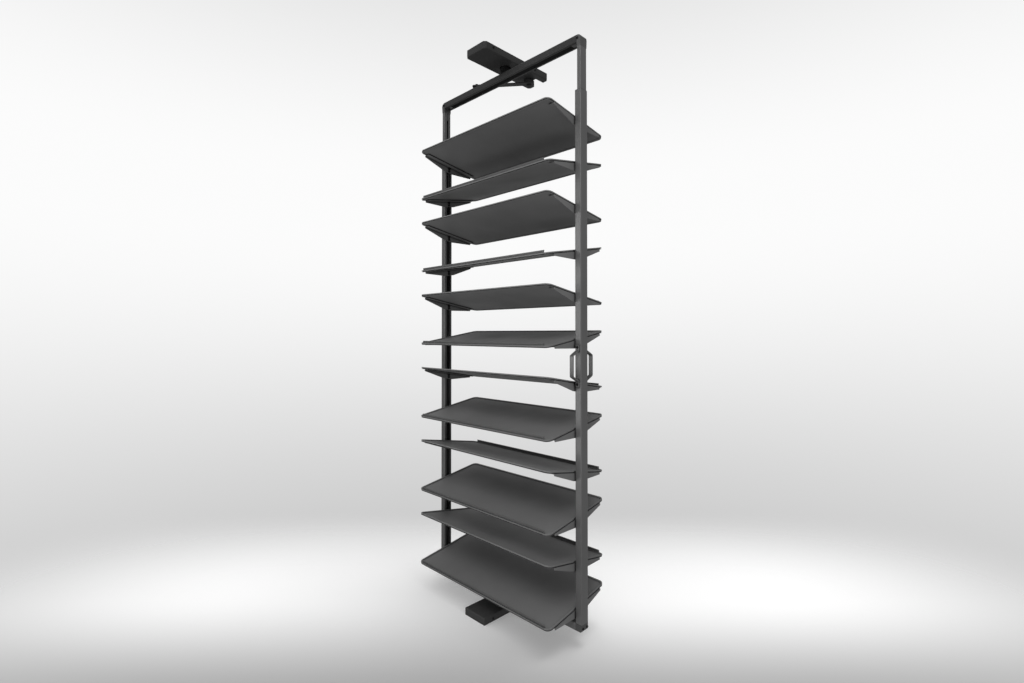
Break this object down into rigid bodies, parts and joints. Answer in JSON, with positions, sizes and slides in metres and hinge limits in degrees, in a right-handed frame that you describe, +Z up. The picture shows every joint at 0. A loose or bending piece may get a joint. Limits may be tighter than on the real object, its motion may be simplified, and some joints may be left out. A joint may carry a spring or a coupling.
{
  "type": "shoe carousel",
  "caption": "Revolving shoe rack for a tall cabinet: tilted trays in a frame that turns between a floor pivot and a ceiling pivot, with telescopic upper posts and pull handles",
  "frame": {"origin": "On the vertical turning axis, on the underside of the floor pivot plate, at floor level.", "axes": "+Z is up along the turning axis. +X points to the post that carries the handles. +Y points to the forked end of the ceiling unit."},
  "size_m": [0.768, 0.3495, 2.103],
  "materials": {
    "tray_paint": "satin anthracite powder coat",
    "frame_paint": "satin anthracite powder coat",
    "unit_paint": "satin near-black powder coat",
    "dark_plastic": "moulded, fine texture",
    "black_plastic": "smooth black bearing plastic",
    "black_steel": "black oxide",
    "zinc_steel": "zinc plated"
  },
  "bodies": {
    "floor_unit": {"floor_pivot_plate": "zinc_steel", "floor_cover": "unit_paint", "floor_cover_screws": "black_steel", "thrust_washer": "black_plastic"},
    "carousel": {"tray_01": "tray_paint", "tray_02": "tray_paint", "tray_03": "tray_paint", "tray_04": "tray_paint", "tray_05": "tray_paint", "tray_06": "tray_paint", "tray_07": "tray_paint", "tray_08": "tray_paint", "tray_09": "tray_paint", "tray_10": "tray_paint", "tray_11": "tray_paint", "tray_12": "tray_paint", "heel_rail_01": "tray_paint", "heel_rail_02": "tray_paint", "heel_rail_03": "tray_paint", "heel_rail_04": "tray_paint", "heel_rail_05": "tray_paint", "heel_rail_06": "tray_paint", "heel_rail_07": "tray_paint", "heel_rail_08": "tray_paint", "heel_rail_09": "tray_paint", "heel_rail_10": "tray_paint", "heel_rail_11": "tray_paint", "heel_rail_12": "tray_paint", "left_tray_brackets": "frame_paint", "right_tray_brackets": "frame_paint", "tray_bolts": "black_steel", "left_post": "frame_paint", "right_post": "frame_paint", "left_post_guide": "dark_plastic", "right_post_guide": "dark_plastic", "telescope_clamp_screws": "black_steel", "bottom_left_corner": "dark_plastic", "bottom_right_corner": "dark_plastic", "bottom_crossbar": "frame_paint", "bottom_corner_screws": "black_steel", "front_handle": "frame_paint", "rear_handle": "frame_paint", "handle_screws": "black_steel", "floor_bush": "black_plastic"},
    "upper_frame": {"left_telescopic_post": "frame_paint", "right_telescopic_post": "frame_paint", "top_crossbar": "unit_paint", "top_left_corner": "dark_plastic", "top_right_corner": "dark_plastic", "top_corner_screws": "black_steel", "ceiling_bush": "black_plastic", "catch_stud": "black_steel", "catch_nut": "black_steel"},
    "ceiling_unit": {"ceiling_pivot_plate": "zinc_steel", "ceiling_cover": "unit_paint", "ceiling_cover_screws": "black_steel", "lever_pivot_pin": "black_steel"},
    "stop_lever": {"stop_lever": "unit_paint"}
  },
  "joints": [
    {"name": "carousel_spin", "type": "hinge", "parent": "floor_unit", "child": "carousel", "pos_m": [0, 0, 0.0426], "axis": [0, 0, 1], "continuous": true},
    {"name": "height_adjust", "type": "slide", "parent": "carousel", "child": "upper_frame", "axis": [0, 0, 1], "range_m": [-0.13, 0.16]},
    {"name": "ceiling_swivel", "type": "hinge", "parent": "upper_frame", "child": "ceiling_unit", "pos_m": [0, 0, 2.06], "axis": [0, 0, 1], "continuous": true},
    {"name": "stop_lever_swing", "type": "hinge", "parent": "ceiling_unit", "child": "stop_lever", "pos_m": [0, 0.135, 2.0655], "axis": [0, 0, 1], "range_deg": [0, 20], "stiffness_Nm_per_rad": 0.6, "springref_deg": -20.05}
  ],
  "couplings": [
    {"joint": "ceiling_swivel", "follows": "carousel_spin", "ratio": -1}
  ]
}
